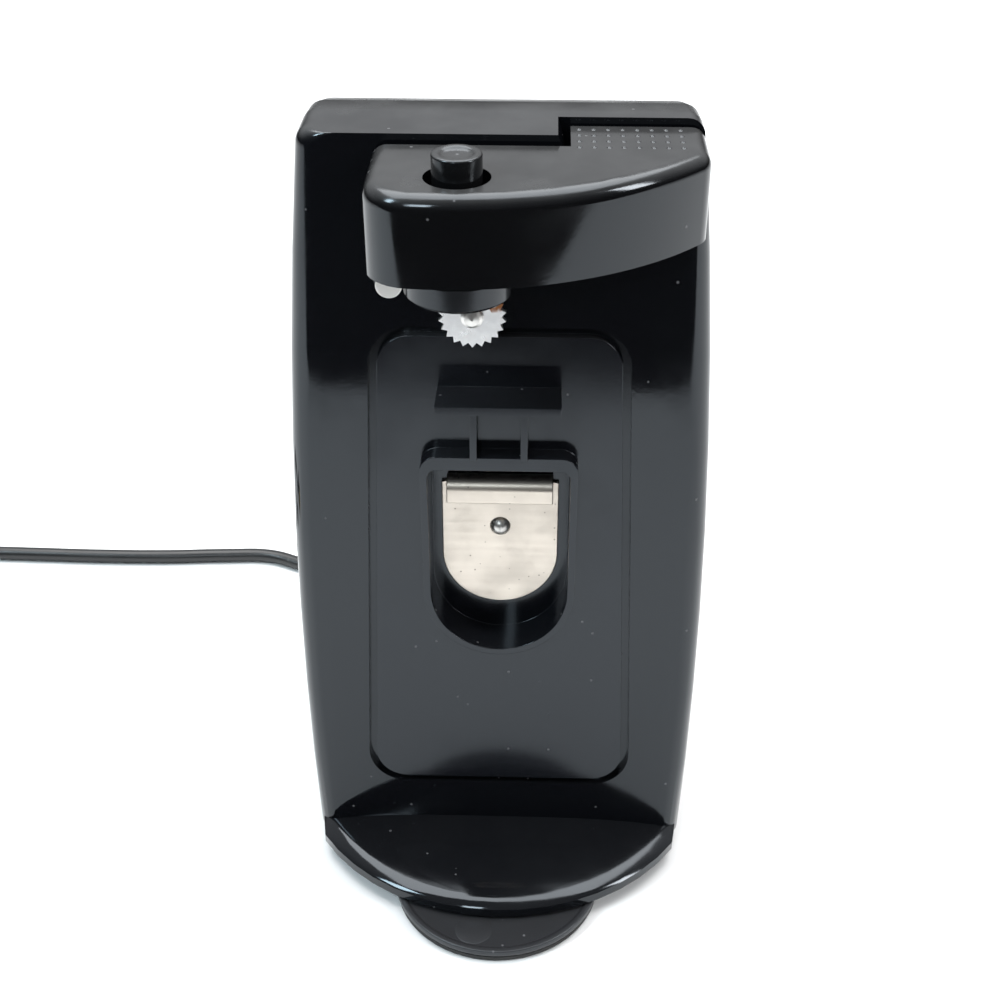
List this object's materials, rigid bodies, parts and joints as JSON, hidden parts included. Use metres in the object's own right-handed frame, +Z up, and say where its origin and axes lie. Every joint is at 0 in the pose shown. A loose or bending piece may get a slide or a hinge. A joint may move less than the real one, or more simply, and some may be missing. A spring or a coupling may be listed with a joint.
{
  "type": "electric can opener",
  "caption": "Upright electric can opener with a hand lever, cutting and feed wheels, lid magnet, bottle opener recess, round front foot and mains cord.",
  "frame": {"origin": "on the table under the housing, where the front foot's rubber ring rests", "axes": "+Z up, +X to the user's right, -Y towards the user"},
  "size_m": [0.3487, 0.2026, 0.232],
  "materials": {
    "housing_plastic": "gloss",
    "cover_plastic": "gloss",
    "panel_plastic": "satin",
    "opener_steel": "satin",
    "rivet_steel": "satin",
    "base_plastic": "matte",
    "foot_plastic": "matte",
    "foot_rubber": "matte",
    "chassis_steel": "satin",
    "pin_steel": "polished",
    "bushing_bronze": "satin",
    "core_steel": "satin",
    "coil_wire": "gloss",
    "bracket_steel": "satin",
    "screw_steel": "satin",
    "switch_plastic": "matte",
    "lead_plastic": "satin",
    "cord_plastic": "satin",
    "lever_plastic": "gloss",
    "cartridge_plastic": "satin",
    "magnet_plating": "polished",
    "cutter_steel": "polished",
    "button_plastic": "gloss",
    "spring_steel": "satin",
    "plunger_plastic": "satin",
    "feed_steel": "satin",
    "gear_plastic": "satin",
    "rotor_steel": "satin",
    "fan_plastic": "matte",
    "plug_brass": "satin"
  },
  "bodies": {
    "housing": {"front_housing": "housing_plastic", "rear_cover": "cover_plastic", "front_panel": "panel_plastic", "opener_plate": "opener_steel", "opener_rivet": "rivet_steel", "base_plate": "base_plastic", "foot_disc": "foot_plastic", "foot_pad": "foot_rubber", "rear_feet": "foot_rubber", "chassis_plate": "chassis_steel", "pivot_pin": "pin_steel", "feed_bushing": "bushing_bronze", "gear_pins": "pin_steel", "pin_clips": "screw_steel", "motor_core": "core_steel", "field_coil": "coil_wire", "front_bracket": "bracket_steel", "rear_bracket": "bracket_steel", "motor_bushings": "bushing_bronze", "motor_posts": "bracket_steel", "motor_screws": "screw_steel", "chassis_screws": "screw_steel", "cover_screws": "screw_steel", "switch_body": "switch_plastic", "lead_wires": "lead_plastic", "strain_relief": "cord_plastic", "power_cord": "cord_plastic", "cord_coil": "cord_plastic", "cord_tail": "cord_plastic", "plug_body": "cord_plastic", "plug_blades": "plug_brass"},
    "lever": {"lever": "lever_plastic", "cutter_cartridge": "cartridge_plastic", "cutter_axle": "pin_steel", "magnet_holder": "cartridge_plastic", "lid_magnet": "magnet_plating", "button_spring": "spring_steel"},
    "cutter": {"cutting_wheel": "cutter_steel"},
    "button": {"release_button": "button_plastic"},
    "switch": {"switch_plunger": "plunger_plastic"},
    "feed": {"feed_wheel": "feed_steel", "feed_rivet": "rivet_steel", "feed_shaft": "pin_steel", "output_gear": "gear_plastic"},
    "middle_wheel": {"middle_gear": "gear_plastic"},
    "first_wheel": {"first_gear": "gear_plastic"},
    "armature": {"rotor": "rotor_steel", "rotor_shaft": "pin_steel", "motor_pinion": "pin_steel", "cooling_fan": "fan_plastic"}
  },
  "joints": [
    {"name": "lever_lift", "type": "hinge", "parent": "housing", "child": "lever", "pos_m": [-0.024, -0.01, 0.213], "axis": [0, -1, 0], "range_deg": [0, 25]},
    {"name": "cutter_spin", "type": "hinge", "parent": "lever", "child": "cutter", "pos_m": [-0.0064, -0.0189, 0.2026], "axis": [0, 1, 0], "continuous": true},
    {"name": "button_press", "type": "slide", "parent": "lever", "child": "button", "axis": [0, 0, -1], "range_m": [0, 0.003], "stiffness_N_per_m": 400, "deforming": ["button_spring"]},
    {"name": "switch_press", "type": "slide", "parent": "housing", "child": "switch", "axis": [0, 0, -1], "range_m": [0, 0.0015], "stiffness_N_per_m": 300},
    {"name": "rotor_spin", "type": "hinge", "parent": "housing", "child": "armature", "pos_m": [0, 0.04, 0.10923], "axis": [0, 1, 0], "continuous": true},
    {"name": "first_wheel_spin", "type": "hinge", "parent": "housing", "child": "first_wheel", "pos_m": [-0.0044, 0.02, 0.13404], "axis": [0, 1, 0], "continuous": true},
    {"name": "middle_wheel_spin", "type": "hinge", "parent": "housing", "child": "middle_wheel", "pos_m": [0.0076, 0.016, 0.15934], "axis": [0, 1, 0], "continuous": true},
    {"name": "feed_spin", "type": "hinge", "parent": "housing", "child": "feed", "pos_m": [-0.0064, 0, 0.187], "axis": [0, 1, 0], "continuous": true}
  ],
  "couplings": [
    {"joint": "first_wheel_spin", "follows": "rotor_spin", "ratio": -0.2},
    {"joint": "middle_wheel_spin", "follows": "rotor_spin", "ratio": 0.05},
    {"joint": "feed_spin", "follows": "rotor_spin", "ratio": -0.014583}
  ]
}
